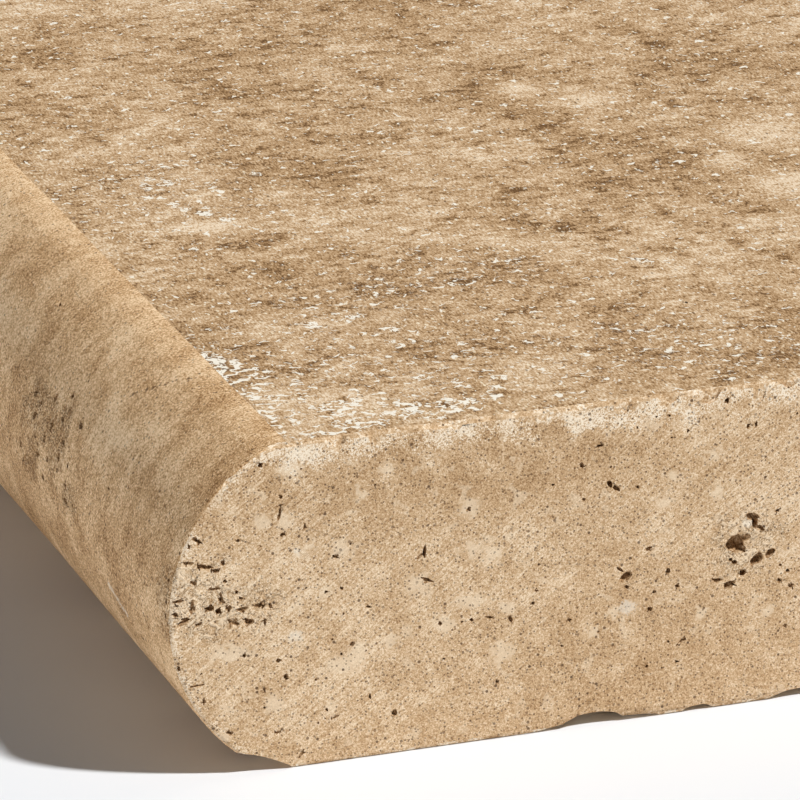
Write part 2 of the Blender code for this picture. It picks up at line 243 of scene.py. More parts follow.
# White crystals and pale blotches in the top: across, along, half width, half length.
TOP_CRYSTALS = (
    (18.2, 35.0, 1.6, 4.2), (17.0, 2.8, 1.5, 2.6), (25.5, 16.0, 1.3, 0.7), (30.9, 5.4, 1.1, 0.7),
    (44.8, 18.7, 1.5, 0.8), (48.7, 14.6, 1.2, 0.7), (55.7, 14.8, 1.4, 0.7), (53.8, 11.5, 1.0, 0.6),
    (45.9, 34.5, 1.0, 0.8), (47.9, 39.3, 1.2, 0.8), (37.3, 45.4, 1.2, 0.9), (44.0, 46.7, 1.0, 0.8),
    (40.5, 2.7, 1.4, 0.7), (37.3, 114.6, 1.1, 1.4), (33.9, 114.2, 0.7, 1.2), (35.1, 104.5, 0.8, 1.2),
    (38.4, 98.3, 0.9, 1.2), (41.0, 94.8, 0.7, 1.0), (88.2, 17.9, 1.2, 0.7), (83.2, 17.4, 1.1, 0.7),
    (84.1, 11.7, 1.0, 0.6), (93.5, 55.1, 1.0, 1.0),
)
# Where thin white crystals crowd together, and where they are only sprinkled.
TOP_CROWDS = (
    (20.0, 15.0, 6.0, 17.0), (30.0, 9.0, 8.0, 7.0), (42.0, 6.0, 9.0, 2.5), (19.0, 35.0, 2.5, 4.0),
)
TOP_SPRINKLES = (
    (36.0, 24.0, 20.0, 24.0), (56.0, 22.0, 18.0, 16.0), (36.0, 106.0, 10.0, 18.0),
    (88.0, 18.0, 12.0, 14.0), (66.0, 60.0, 10.0, 8.0), (46.0, 50.0, 12.0, 12.0),
)
TOP_SMUDGES = (
    (30.5, 27.9, 1.4, 2.4), (69.4, 40.4, 1.8, 2.4), (54.4, 25.5, 3.6, 1.6), (87.0, 95.1, 1.8, 2.4),
    (83.9, 78.8, 1.4, 2.6), (101.5, 108.8, 1.5, 2.8), (120.7, 99.2, 2.1, 2.6), (88.7, 74.1, 1.7, 2.6),
    (96.1, 70.4, 1.2, 2.2), (65.7, 56.9, 1.4, 2.2), (94.6, 53.7, 1.7, 2.0), (24.5, 38.6, 1.4, 2.4),
    (31.4, 88.3, 3.6, 2.0), (42.7, 83.4, 4.5, 2.0), (104.8, 62.8, 1.4, 1.8), (110.4, 58.3, 1.7, 1.8),
)
TOP_BLOTCHES = (
    (113.5, 132.0, 7.0, 4.0), (106.0, 140.0, 4.0, 4.0), (129.0, 82.0, 6.0, 5.0),
    (134.2, 105.6, 7.0, 7.0), (124.1, 95.8, 4.0, 4.5), (37.0, 92.5, 6.0, 3.0),
)

# Crowds of small holes, with walls between them that stand out, given as the spots and marks are; the
# walls are drawn paler and the grooves darker, partly painted light and shade of that relief.
END_CROWDS = ((5.0, 27.5, 6.0, 5.5), (12.5, 25.5, 4.0, 3.5), (88.5, 25.5, 4.5, 5.0))
NOSE_CROWDS = ((66.0, 16.0, 6.0), (55.0, 15.0, 5.0), (1.0, 5.0, 4.0), (48.0, 4.0, 3.5))

SPOT_DEPTH = 8 * MM  # how far a spot reaches into the stone, short of the other faces

# Marks in the nose: along, degrees above the middle, half size.
NOSE_BLOTCHES = ((124.0, 61.0, 11.0),)
NOSE_STAINS = ((57.0, 46.0, 1.6), (28.4, 33.1, 0.9), (62.0, 44.0, 1.2))
# The hairline crack below is drawn as a row of dark spots, painted shade inside a crack too fine to
# cut.
NOSE_HAIRLINE = (
    (49.1, 25.1, 0.20), (47.8, 27.5, 0.15), (46.2, 30.0, 0.15), (45.1, 33.0, 0.20), (43.5, 35.7, 0.28),
    (42.6, 39.4, 0.20), (41.9, 40.7, 0.20), (41.3, 42.4, 0.15), (40.7, 43.7, 0.20), (40.4, 44.8, 0.32),
    (39.8, 46.1, 0.20), (39.1, 47.2, 0.15), (38.2, 48.9, 0.34), (37.1, 50.4, 0.32), (36.2, 52.5, 0.20),
    (35.2, 54.0, 0.28), (34.5, 56.1, 0.15), (34.0, 57.2, 0.20), (32.2, 60.2, 0.30), (31.7, 60.9, 0.20),
)
CALCITE_VEIN = ((29.6, -11.0), (22.7, -15.5))
VEIN_SPOTS = 8
VEIN_HALF_SIZE = 0.45


def deselect_all():
    bpy.ops.object.select_all(action="DESELECT")


def make_active(thing):
    deselect_all()
    thing.select_set(True)
    bpy.context.view_layer.objects.active = thing


# Node work.


# Where a Mix node has its colours, since its sockets for numbers and vectors share their names.
MIX_FIRST, MIX_SECOND, MIX_RESULT = 6, 7, 2


class Number:
    """A number that changes over the surface. Sums on it add the Math nodes that work them out."""

    def __init__(self, finish, socket):
        self.finish = finish
        self.socket = socket

    def __add__(self, other):
        return self.finish.maths("ADD", self, other)

    def __sub__(self, other):
        return self.finish.maths("SUBTRACT", self, other)

    def __rsub__(self, other):
        return self.finish.maths("SUBTRACT", other, self)

    def __mul__(self, other):
        return self.finish.maths("MULTIPLY", self, other)

    def __gt__(self, other):
        return self.finish.maths("GREATER_THAN", self, other)

    def __or__(self, other):
        return self.finish.maths("MAXIMUM", self, other)

    __radd__ = __add__
    __rmul__ = __mul__


class Finish:
    """One material, and the ways of adding to its nodes."""

    def __init__(self, name):
        self.material = bpy.data.materials.new(name)
        self.material.use_nodes = True
        self.tree = self.material.node_tree
        self.shader = self.tree.nodes["Principled BSDF"]
        self.place = self.node("ShaderNodeTexCoord").outputs["Object"]

    def node(self, kind, settings=None, inputs=None):
        node = self.tree.nodes.new(kind)
        for name, value in (settings or {}).items():
            if name == "stops":
                self.set_stops(node.color_ramp, value)
            else:
                setattr(node, name, value)
        for name, value in (inputs or {}).items():
            self.feed(node.inputs[name], value)
        return node

    def set_stops(self, ramp, stops):
        while len(ramp.elements) < len(stops):
            ramp.elements.new(1)
        for element, (position, colour) in zip(ramp.elements, stops):
            element.position = position
            element.color = (*colour, 1)

    def feed(self, socket, value):
        if isinstance(value, Number):
            value = value.socket
        if isinstance(value, bpy.types.NodeSocket):
            self.tree.links.new(value, socket)
        else:
            socket.default_value = value

    def maths(self, operation, first, second):
        node = self.node("ShaderNodeMath", {"operation": operation}, {0: first, 1: second})
        return Number(self, node.outputs["Value"])

    def vector(self, operation, first, second):
        node = self.node("ShaderNodeVectorMath", {"operation": operation}, {0: first, 1: second})
        return node.outputs["Vector"]

    def stretched(self, lengths, turn=0.0):
        """Places turned about Y, then measured in the given lengths in millimetres."""
        turned = self.node(
            "ShaderNodeVectorRotate",
            {"rotation_type": "Y_AXIS"},
            {"Vector": self.place, "Angle": math.radians(turn)},
        ).outputs["Vector"]
        scales = tuple(1 / (length * MM) for length in lengths)
        return self.vector("MULTIPLY", turned, scales)

    def grain(self, size, detail, roughness=0.55, place=None, warp=0.0):
        """Cloudy noise about zero, with lumps of about the given size.

        The size is in millimetres, or in the units of the stretched place where there is one.
        """
        node = self.node(
            "ShaderNodeTexNoise",
            {"noise_dimensions": "3D"},
            {
                "Vector": self.place if place is None else place,
                "Scale": 1 / (size * MM) if place is None else 1 / size,
                "Detail": detail,
                "Roughness": roughness,
                "Distortion": warp,
            },
        )
        return Number(self, node.outputs["Fac"]) - 0.5

    def cells(self, size, place=None):
        """Distance from the middle of the nearest cell, in cell sizes, and a number for the cell.

        The size is given as for the grain.
        """
        node = self.node(
            "ShaderNodeTexVoronoi",
            {"feature": "F1"},
            {
                "Vector": self.place if place is None else place,
                "Scale": 1 / (size * MM) if place is None else 1 / size,
            },
        )
        split = self.node("ShaderNodeSeparateColor", {}, {"Color": node.outputs["Color"]})
        return Number(self, node.outputs["Distance"]), Number(self, split.outputs["Red"])

    def dots(self, size, share, radius, place=None):
        """Round dots in the given share of cells: 0 outside, and up to 1 inside the strongest."""
        distance, number = self.cells(size, place)
        strength = self.fade(number, 1 - share, 1) * 0.6 + (number > 1 - share) * 0.4
        return self.fade(distance, radius, radius * 0.55) * strength

    def lines(self, wave, width):
        """1 along the thin wandering lines where the given noise is zero."""
        return self.fade(self.maths("ABSOLUTE", wave, 0), width, 0)

    def along(self, axis):
        """How far a place lies from the near foot along X, Y or Z, in millimetres."""
        split = self.node("ShaderNodeSeparateXYZ", {}, {"Vector": self.place})
        return (Number(self, split.outputs[axis]) - LOW["XYZ".index(axis)]) * (1 / MM)

    def from_nose_axis(self):
        """How far a place lies from the axis that the nose is round about, in millimetres."""
        offset = self.vector("SUBTRACT", self.place, NOSE_CENTRE)
        across = self.vector("MULTIPLY", offset, (1 / MM, 0, 1 / MM))
        length = self.node("ShaderNodeVectorMath", {"operation": "LENGTH"}, {0: across})
        return Number(self, length.outputs["Value"])

    def fade(self, amount, start, end):
        """0 at start and 1 at end, smooth between them."""
        node = self.node(
            "ShaderNodeMapRange",
            {"interpolation_type": "SMOOTHSTEP"},
            {"Value": amount, "From Min": start, "From Max": end},
        )
        return Number(self, node.outputs["Result"])

    def warped(self, size, reach):
        """Places pushed about by up to reach millimetres, so that what is drawn there is ragged."""
        push = self.node(
            "ShaderNodeTexNoise",
            {"noise_dimensions": "3D"},
            {"Vector": self.place, "Scale": 1 / (size * MM), "Detail": 3.0, "Roughness": 0.65},
        ).outputs["Color"]
        centred = self.vector("SUBTRACT", push, (0.5, 0.5, 0.5))
        pushed = self.vector("MULTIPLY", centred, (reach * MM * 4,) * 3)
        return self.vector("ADD", self.place, pushed)

    def spots(self, spots, place, ragged=0):
        """1 inside spots with a ragged rim and 0 outside. A spot is a centre and its half sizes."""
        nearest = None
        for centre, halves in spots:
            shares = [1 / half for half in halves]
            offsets = [-part * share for part, share in zip(centre, shares)]
            scaled = self.node(
                "ShaderNodeVectorMath",
                {"operation": "MULTIPLY_ADD"},
                {0: place, 1: shares, 2: offsets},
            ).outputs["Vector"]
            length = self.node("ShaderNodeVectorMath", {"operation": "LENGTH"}, {0: scaled})
            distance = Number(self, length.outputs["Value"])
            nearest = distance if nearest is None else self.maths("MINIMUM", nearest, distance)
        return self.fade(nearest + ragged, 1.25, 0.75)

    def ramp(self, amount, stops):
        return self.node("ShaderNodeValToRGB", {"stops": stops}, {"Fac": amount}).outputs["Color"]

    def mix(self, factor, first, second):
        node = self.node("ShaderNodeMix", {"data_type": "RGBA"}, {"Factor": factor})
        self.feed(node.inputs[MIX_FIRST], first if hasattr(first, "node") else (*first, 1))
        self.feed(node.inputs[MIX_SECOND], second if hasattr(second, "node") else (*second, 1))
        return node.outputs[MIX_RESULT]

    def surface(self, colour, roughness, height, relief):
        """Wires the colour, the roughness and a bump whose height is relief millimetres for 1."""
        self.shader.inputs["Specular IOR Level"].default_value = 0.3
        self.feed(self.shader.inputs["Base Color"], colour)
        self.feed(self.shader.inputs["Roughness"], roughness)
        bump = self.node(
            "ShaderNodeBump",
            {},
            {"Strength": 1.0, "Distance": relief * MM, "Height": height},
        )
        self.feed(self.shader.inputs["Normal"], bump.outputs["Normal"])
        return self.material


def end_spots(spots):
    """Spots on the near end as centres and half sizes in metres."""
    for across, up, half_width, half_height in spots:
        centre = Vector((LOW.x + across * MM, LOW.y, LOW.z + up * MM))
        yield centre, (half_width * MM, SPOT_DEPTH, half_height * MM)


def top_spots(spots):
    """The same for the top."""
    for across, along, half_width, half_length in spots:
        centre = Vector((LOW.x + across * MM, LOW.y + along * MM, HIGH.z))
        yield centre, (half_width * MM, half_length * MM, SPOT_DEPTH)


def nose_spots(spots):
    """The same for the nose, where the spots are round."""
    for along, angle, half in spots:
        centre = NOSE_CENTRE + nose_direction(math.radians(angle)) * NOSE_RADIUS
        centre.y = LOW.y + along * MM
        yield centre, (half * MM,) * 3


def brushed_top():
    """The ground top: brown streaks, white crystals, and painted highlights, bright dots in the colour
    that stand in for the light the crystals catch.
    """
    finish = Finish("brushed_top")
    cloud = finish.grain(30, 2)
    patch = finish.grain(1, 3, 0.6, finish.stretched((8, 7, 8)))
    streak = finish.grain(1, 3, 0.6, finish.stretched((3.0, 2.2, 2)), 0.5)
    fleck = finish.grain(1, 2, 0.7, finish.stretched((0.34, 0.85, 0.34)))
    shard = finish.grain(1, 2, 0.6, finish.stretched((1.4, 1.3, 1)), 0.8)
    wave = finish.grain(1, 2, 0.6, finish.stretched((1.8, 3.4, 1)), 1.2)
    _, crystal_tone = finish.cells(1, finish.stretched((0.3, 0.7, 0.3)))
    tone = 0.51 + cloud * 0.7 + patch * 1.0 + streak * 1.2 + fleck * 2.1
    tone = tone + (crystal_tone - 0.5) * 0.2
    dark_streaks = finish.fade(streak + patch * 0.4, -0.07, -0.2)
    blotches = finish.spots(top_spots(TOP_BLOTCHES), finish.place, patch * 3 + streak * 3)
    smudges = finish.spots(top_spots(TOP_SMUDGES), finish.place, streak * 5)
    tone = tone - dark_streaks * 0.14 - smudges * 0.22 + blotches * 0.36
    crowd = finish.spots(top_spots(TOP_CROWDS), finish.place, patch * 4)
    sprinkle = finish.spots(top_spots(TOP_SPRINKLES), finish.place, patch * 4 + streak * 3)
    flecks = finish.fade(shard + crowd * 0.085 + sprinkle * 0.028, 0.14, 0.165)
    veins = finish.lines(wave, 0.02) * finish.fade(shard, -0.03, 0.03) * (crowd | sprinkle * 0.5)
    # Painted highlights: bright dots in the colour where crystals would catch the light.
    painted_glints = finish.dots(1, 0.38, 0.28, finish.stretched((0.9, 2.0, 0.9)))
    crystals = finish.spots(top_spots(TOP_CRYSTALS), finish.place, streak * 6)
    crystals = crystals * finish.fade(shard + fleck * 0.5, -0.03, 0.02)
    white = flecks | veins * 0.9 | crystals
    # Painted shade: dark pinpoints, dented by the bump and darkened for the shade inside them.
    dark = finish.dots(1, 0.45, 0.24, finish.stretched((1.0, 2.1, 1.0))) * 0.75
    colour = finish.mix(dark, finish.ramp(tone, STONE_COLOURS), HOLE_SHADE_BROWN)
    colour = finish.mix(painted_glints * 0.9, colour, PAINTED_GLINT)
    colour = finish.mix(white * 0.95, colour, CALCITE)
    return finish.surface(colour, 0.6, fleck * 0.6 + streak * 0.5 - dark * 0.5, 0.14)


def honed_nose():
    """The nose, ground around its arc, with fine pinholes. It is paler towards the top, which is
    painted light: the upper nose is drawn brighter for the stronger light that falls there.
    """
    finish = Finish("honed_nose")
    cloud = finish.grain(24, 2)
    patch = finish.grain(7, 3, 0.6)
    streak = finish.grain(1, 3, 0.6, finish.stretched((4.5, 1.5, 4.5)), 0.5)
    fine = finish.grain(0.3, 2, 0.7)
    _, crystal_tone = finish.cells(0.3)
    # Painted light: the tone rises towards the top of the nose, for the stronger light that falls
    # there.
    paler = finish.fade(finish.along("Z") + patch * 20, 30, 49)
    tone = 0.575 + cloud * 0.8 + patch * 0.95 + streak * 0.6 + fine * 2.7
    tone = tone + (crystal_tone - 0.5) * 0.24
    stains = finish.spots(nose_spots(NOSE_STAINS), finish.place, streak * 5)
    blotches = finish.spots(nose_spots(NOSE_BLOTCHES), finish.place, patch * 4)
    tone = tone + paler * 0.1 - stains * 0.17 + blotches * 0.15
    swirl = finish.grain(1.5, 2, 0.5, warp=1.5)
    crowd = finish.spots(nose_spots(NOSE_CROWDS), finish.place, patch * 4)
    shaded_grooves = finish.lines(swirl, 0.03) * crowd
    # Partly painted light and shade: paler on the raised walls of the crowds, darker in the grooves
    # between them.
    tone = tone + crowd * finish.fade(swirl, 0.02, 0.12) * 0.15 - shaded_grooves * 0.2
    start, end = (Vector(place) for place in CALCITE_VEIN)
    steps = [step / (VEIN_SPOTS - 1) for step in range(VEIN_SPOTS)]
    vein = [(*start.lerp(end, step), VEIN_HALF_SIZE) for step in steps]
    white = finish.spots(nose_spots(vein), finish.warped(2.0, 0.6), fine * 5) * 0.6
    # Painted shade: pinholes dented by the bump and darkened for the shade inside them.
    pits = finish.dots(1.0, 0.7, 0.24) * 0.75 | finish.dots(1.9, 0.5, 0.15) * 0.9
    # Painted light: the nose's colours tinted warm for the warm light on its shaded side.
    warm_lit_colour = finish.vector("MULTIPLY", finish.ramp(tone, STONE_COLOURS), WARM_LIGHT_CAST)
    colour = finish.mix(white, warm_lit_colour, CALCITE)
    # Painted shade: the hairline crack is a row of dark spots for the shade inside it.
    hairline = finish.spots(nose_spots(NOSE_HAIRLINE), finish.place)
    colour = finish.mix(pits | hairline * 0.8, colour, HOLE_SHADE_BROWN)
    height = fine * 0.5 + streak * 0.2 + swirl * crowd * 8 - pits * 0.6 - shaded_grooves * 1.2
    return finish.surface(colour, 0.8, height, 0.10)


def sawn_face():
    """The sawn ends, back and bed: smooth, with pinholes, cream spots and faint saw lines."""
    finish = Finish("sawn_face")
    cloud = finish.grain(36, 2)
    patch = finish.grain(5, 3, 0.6)
    fine = finish.grain(0.22, 2, 0.7)
    saw_lines = finish.grain(1, 1, 0.5, finish.stretched((12, 3, 0.2), 38))
    _, crystal_tone = finish.cells(0.28)
    up = finish.along("Z")
    tone = 0.63 + cloud * 0.5 + patch * 0.7 + fine * 1.7 + (crystal_tone - 0.5) * 0.24
    tone = tone + saw_lines * 0.6 * finish.fade(cloud + patch * 0.5, -0.02, 0.08)
    brown_band = finish.fade(up + patch * 22, 33, 38) * finish.fade(up + patch * 22, 48, 43)
    blotch = finish.fade(finish.grain(2.8, 3, 0.6, warp=0.6), 0.08, 0.16)
    cream = finish.spots(end_spots(CREAM_SPOTS), finish.warped(1.4, 1.0), fine * 3) * 0.65
    swirl = finish.grain(1.7, 2, 0.5, warp=1.6)
    crowd = finish.spots(end_spots(END_CROWDS), finish.place, patch * 4)
    shaded_grooves = finish.lines(swirl, 0.03) * crowd
    crumbs = finish.fade(up + patch * 14 + fine * 12, 46.9, 48.7)
    arc = NOSE_RADIUS / MM
    rim = finish.fade(finish.from_nose_axis() + patch * 6 + fine * 4, arc - 1.4, arc - 0.3)
    rim = rim * finish.fade(finish.along("X"), 16, 13)
    white = finish.spots(end_spots(WHITE_SPOTS), finish.warped(1.2, 0.6), fine * 4) * 0.45
    white = white | (crumbs | rim * 0.6) * finish.fade(fine * 1.4 + patch, 0.0, 0.14) * 0.4
    # Painted shade: the grooves of the crowds are darker.
    tone = tone - brown_band * 0.10 + crumbs * 0.15 + rim * 0.1 + crowd * 0.06 - shaded_grooves * 0.25
    # Painted shade: pinholes dented by the bump and darkened for the shade inside them.
    pits = finish.dots(0.55, 0.8, 0.34) * 0.85 | finish.dots(1.3, 0.5, 0.22)
    # Partly painted light: creamier on the raised walls of the crowds.
    pale = cream | blotch * 0.4 | crowd * finish.fade(swirl, 0.02, 0.12) * 0.6
    colour = finish.mix(pale, finish.ramp(tone, STONE_COLOURS), CREAM)
    colour = finish.mix(white, colour, CALCITE)
    colour = finish.mix(pits * 0.9, colour, HOLE_SHADE_BROWN)
    height = fine * 0.45 + saw_lines * 0.25 + swirl * crowd * 5 - pits * 0.8 - shaded_grooves * 0.8
    return finish.surface(colour, 0.75, height, 0.12)


def chipped():
    """Broken stone at the arrises, paler and rougher than the faces beside it."""
    finish = Finish("chipped")
    patch = finish.grain(2.6, 3, 0.6)
    fine = finish.grain(0.4, 3, 0.7)
    _, crystal_tone = finish.cells(0.35)
    tone = 0.70 + patch * 1.4 + fine * 2.0 + (crystal_tone - 0.5) * 0.3
    white = finish.fade(fine + patch, 0.08, 0.20) * 0.5
    # Painted shade: pinholes dented by the bump and darkened for the shade inside them.
    pits = finish.dots(0.9, 0.6, 0.24) * 0.8
    colour = finish.mix(white, finish.ramp(tone, STONE_COLOURS), CALCITE)
    colour = finish.mix(pits, colour, HOLE_SHADE_BROWN)
    return finish.surface(colour, 0.75, fine - pits * 0.5, 0.2)


def hole_wall():
    """Inside the holes: brown and rough."""
    finish = Finish("hole_wall")
    fine = finish.grain(0.5, 3, 0.7)
    tone = 0.33 + fine * 3.0
    return finish.surface(finish.ramp(tone, STONE_COLOURS), 0.8, fine, 0.25)


# Shape of the stone.


def depths(point):
    """How deep a point lies under each face of the slab."""
    under = {
        "top": HIGH.z - point.z,
        "bed": point.z - LOW.z,
        "near": point.y - LOW.y,
        "far": HIGH.y - point.y,
        "back": HIGH.x - point.x,
    }
    if point.x < NOSE_ARRIS_X:
        from_axis = math.hypot(point.x - NOSE_CENTRE.x, point.z - NOSE_CENTRE.z)
        under["nose"] = NOSE_RADIUS - from_axis
    return under


def nose_direction(angle):
    return Vector((-math.cos(angle), 0, math.sin(angle)))


def nose_frame(y, angle, along):
    """A frame on the nose: X along the given direction and Z out of the nose."""
    out = nose_direction(angle)
    origin = NOSE_CENTRE + out * NOSE_RADIUS
    origin.y = y
    axes = Matrix((along, out.cross(along), out)).transposed().to_4x4()
    return Matrix.Translation(origin) @ axes


def face_frame(face, first, second):
    """A frame on a face: X and Y along it and Z out of it.

    The two places are in metres from the near foot: X and Z on an end, Y and Z on the back, X and Y
    on the top, and Y and the angle above the middle on the nose.
    """
    if face == "nose":
        return nose_frame(LOW.y + first, second, Vector((0, -1, 0)))
    if face in ("near", "far"):
        out = Vector((0, -1 if face == "near" else 1, 0))
        origin = Vector((LOW.x + first, LOW.y if face == "near" else HIGH.y, LOW.z + second))
        along = Vector((1, 0, 0)) if face == "near" else Vector((-1, 0, 0))
    elif face == "back":
        out = Vector((1, 0, 0))
        origin = Vector((HIGH.x, LOW.y + first, LOW.z + second))
        along = Vector((0, 1, 0))
    else:
        out = Vector((0, 0, 1))
        origin = Vector((LOW.x + first, LOW.y + second, HIGH.z))
        along = Vector((1, 0, 0))
    axes = Matrix((along, out.cross(along), out)).transposed().to_4x4()
    return Matrix.Translation(origin) @ axes


def lump():
    """A round lump of radius 1, to be copied, roughened and cut out of the stone."""
    deselect_all()
    bpy.ops.mesh.primitive_ico_sphere_add(subdivisions=LUMP_DETAIL, radius=1, location=(0, 0, 0))
    return bpy.context.object


def rough_copy(pattern, where, half_sizes, roughness, numbers):
    """A copy of the lump at its place, with its own lumps."""
    copy = bpy.data.objects.new(pattern.name, pattern.data.copy())
    bpy.context.scene.collection.objects.link(copy)
    shift = Vector((numbers.uniform(0, 99), numbers.uniform(0, 99), numbers.uniform(0, 99)))
    for vert in copy.data.vertices:
        swell = 1 + roughness * noise.noise(vert.co * LUMP_QUICKNESS + shift)
        vert.co = Vector(part * swell * half for part, half in zip(vert.co, half_sizes))
    copy.data.transform(where)
    return copy


def joined(pieces, name, finish):
    """The pieces as one object with one finish."""
    deselect_all()
    for piece in pieces:
        piece.data.materials.clear()
        piece.data.materials.append(finish)
        piece.select_set(True)
    bpy.context.view_layer.objects.active = pieces[0]
    bpy.ops.object.join()
    pieces[0].name = name
    return pieces[0]


def cut_out(stone, cutter, crossing=False):
    """Cuts the cutter out of the stone. The cut faces take the cutter's finish."""
    make_active(stone)
    cut = stone.modifiers.new(cutter.name, "BOOLEAN")
    cut.operation = "DIFFERENCE"
    cut.solver = "EXACT"
    cut.use_self = crossing
    cut.object = cutter
    cut.material_mode = "TRANSFER"
    bpy.ops.object.modifier_apply(modifier=cut.name)
    bpy.data.objects.remove(cutter, do_unlink=True)


def hand_placed_holes():
    """Face, places and sizes of the holes that the photograph shows."""
    for across, up, width, height, turn in END_HOLES:
        yield "near", across * MM, up * MM, width * MM, height * MM, turn
    for from_end, angle, width, height, turn in NOSE_HOLES:
        yield "nose", from_end * MM, math.radians(angle), width * MM, height * MM, turn


def scattered_holes(numbers):
    """Face, places and sizes of the small holes that are scattered over the stone."""
    length = HIGH.y - LOW.y
    depth = HIGH.x - LOW.x
    across = (TIP_MARGIN, depth - EDGE_MARGIN)
    along = (EDGE_MARGIN, length - EDGE_MARGIN)
    up = (EDGE_MARGIN, THICKNESS - EDGE_MARGIN)
    spans = {
        "near": (across, (EDGE_MARGIN, THICKNESS - LOW_MARGIN)),
        "far": (across, up),
        "back": (along, up),
        "top": ((NOSE_REACH + TOP_MARGIN, depth - EDGE_MARGIN), along),
        "nose": ((LOW_MARGIN, length - LOW_MARGIN), [part * NOSE_HALF_ANGLE for part in NOSE_SPAN]),
    }
    for face, (count, least, most) in SCATTER.items():
        (first_low, first_high), (second_low, second_high) = spans[face]
        for _ in range(count):
            first = numbers.uniform(first_low, first_high)
            second = numbers.uniform(second_low, second_high)
            width = least + (most - least) * numbers.random() ** SMALL_ONES
            height = width * numbers.uniform(*SCATTER_SHAPES)
            yield face, first, second, width * MM, height * MM, numbers.uniform(0, 180)


def arm_copies(pattern, where, width, height, depth, numbers):
    """The two arms of a hole, each a flat lump that reaches out from its rim."""
    size = max(width, height)
    around = numbers.uniform(0, 2 * math.pi)
    for arm_turn in (around, around + numbers.uniform(*ARMS_APART)):
        sideways = math.cos(arm_turn) * width * ARM_REACH
        upwards = math.sin(arm_turn) * height * ARM_REACH
        arm_where = where @ Matrix.Translation((sideways, upwards, 0))
        arm_where = arm_where @ Matrix.Rotation(numbers.uniform(0, math.pi), 4, "Z")
        half_length = size * numbers.uniform(*ARM_LENGTHS)
        half_width = size * numbers.uniform(*ARM_WIDTHS)
        half_sizes = (half_length, half_width, depth * ARM_DEPTH)
        yield rough_copy(pattern, arm_where, half_sizes, HOLE_LUMPS, numbers)


def hole_cutters(numbers, finish):
    """Two cutters: the holes, each clear of the others, and the arms that make them ragged."""
    pattern = lump()
    taken = []
    holes = []
    arms = []
    wanted = [*hand_placed_holes(), *scattered_holes(numbers)]
    for face, first, second, width, height, turn in wanted:
        where = face_frame(face, first, second)
        size = max(width, height)
        spot = where.to_translation()
        if any((spot - other).length < (size + reach) / 2 * HOLE_SPACING for other, reach in taken):
            continue
        taken.append((spot, size))
        depth = min(width, height) * numbers.uniform(*HOLE_DEPTHS)
        where = where @ Matrix.Rotation(math.radians(turn), 4, "Z")
        half_sizes = (width / 2, height / 2, depth)
        holes.append(rough_copy(pattern, where, half_sizes, HOLE_LUMPS, numbers))
        if size >= ARMS_FROM * MM:
            arms.extend(arm_copies(pattern, where, width, height, depth, numbers))
    bpy.data.objects.remove(pattern, do_unlink=True)
    return joined(holes, "natural_holes", finish), joined(arms, "hole_arms", finish)


def arris_runs():
    """Each straight arris as its start, its end and its nibbles."""
    left, right = NOSE_ARRIS_X, HIGH.x
    for y, nibbles in ((LOW.y, TOP_END_NIBBLES), (HIGH.y, SAWN_NIBBLES)):
        yield Vector((left, y, HIGH.z)), Vector((right, y, HIGH.z)), nibbles
        yield Vector((left, y, LOW.z)), Vector((right, y, LOW.z)), BED_NIBBLES
        yield Vector((right, y, LOW.z)), Vector((right, y, HIGH.z)), SAWN_NIBBLES
    for z, nibbles in ((HIGH.z, SAWN_NIBBLES), (LOW.z, BED_NIBBLES)):
        yield Vector((right, LOW.y, z)), Vector((right, HIGH.y, z)), nibbles
        yield Vector((left, LOW.y, z)), Vector((left, HIGH.y, z)), GROUND_NIBBLES


def nibble_places(run, nibbles, numbers):
    """Middle and half sizes of each nibble along a run of the given length."""
    lengths, insides, downs, gaps = nibbles
    at = numbers.uniform(*FIRST_NIBBLE) * MM
    while True:
        length = numbers.uniform(*lengths) * MM
        if at + length > run - LAST_NIBBLE * MM:
            return
        inside = numbers.uniform(*insides) * MM
        down = numbers.uniform(*downs) * MM
        yield at + length / 2, (length / 2, inside, down)
        at += length * NIBBLE_STRIDE + numbers.uniform(*gaps) * MM


def nibble_cutters(numbers, straight_finish, round_finish):
    """The nibbles along the straight arrises as one cutter, and those round the nose as another."""
    pattern = lump()
    copies = []
    round_copies = []
    for start, end, nibbles in arris_runs():
        direction = (end - start).normalized()
        turned = direction.to_track_quat("X", "Z").to_matrix().to_4x4()
        for at, half_sizes in nibble_places((end - start).length, nibbles, numbers):
            where = Matrix.Translation(start + direction * at) @ turned
            copies.append(rough_copy(pattern, where, half_sizes, NIBBLE_LUMPS, numbers))
    arc = 2 * NOSE_HALF_ANGLE * NOSE_RADIUS
    for y in (LOW.y, HIGH.y):
        for at, half_sizes in nibble_places(arc, NOSE_END_NIBBLES, numbers):
            angle = at / NOSE_RADIUS - NOSE_HALF_ANGLE
            where = nose_frame(y, angle, Vector((math.sin(angle), 0, math.cos(angle))))
            round_copies.append(rough_copy(pattern, where, half_sizes, NIBBLE_LUMPS, numbers))
    bpy.data.objects.remove(pattern, do_unlink=True)
    straight = joined(copies, "arris_nibbles", straight_finish)
    return straight, joined(round_copies, "nose_arris_nibbles", round_finish)


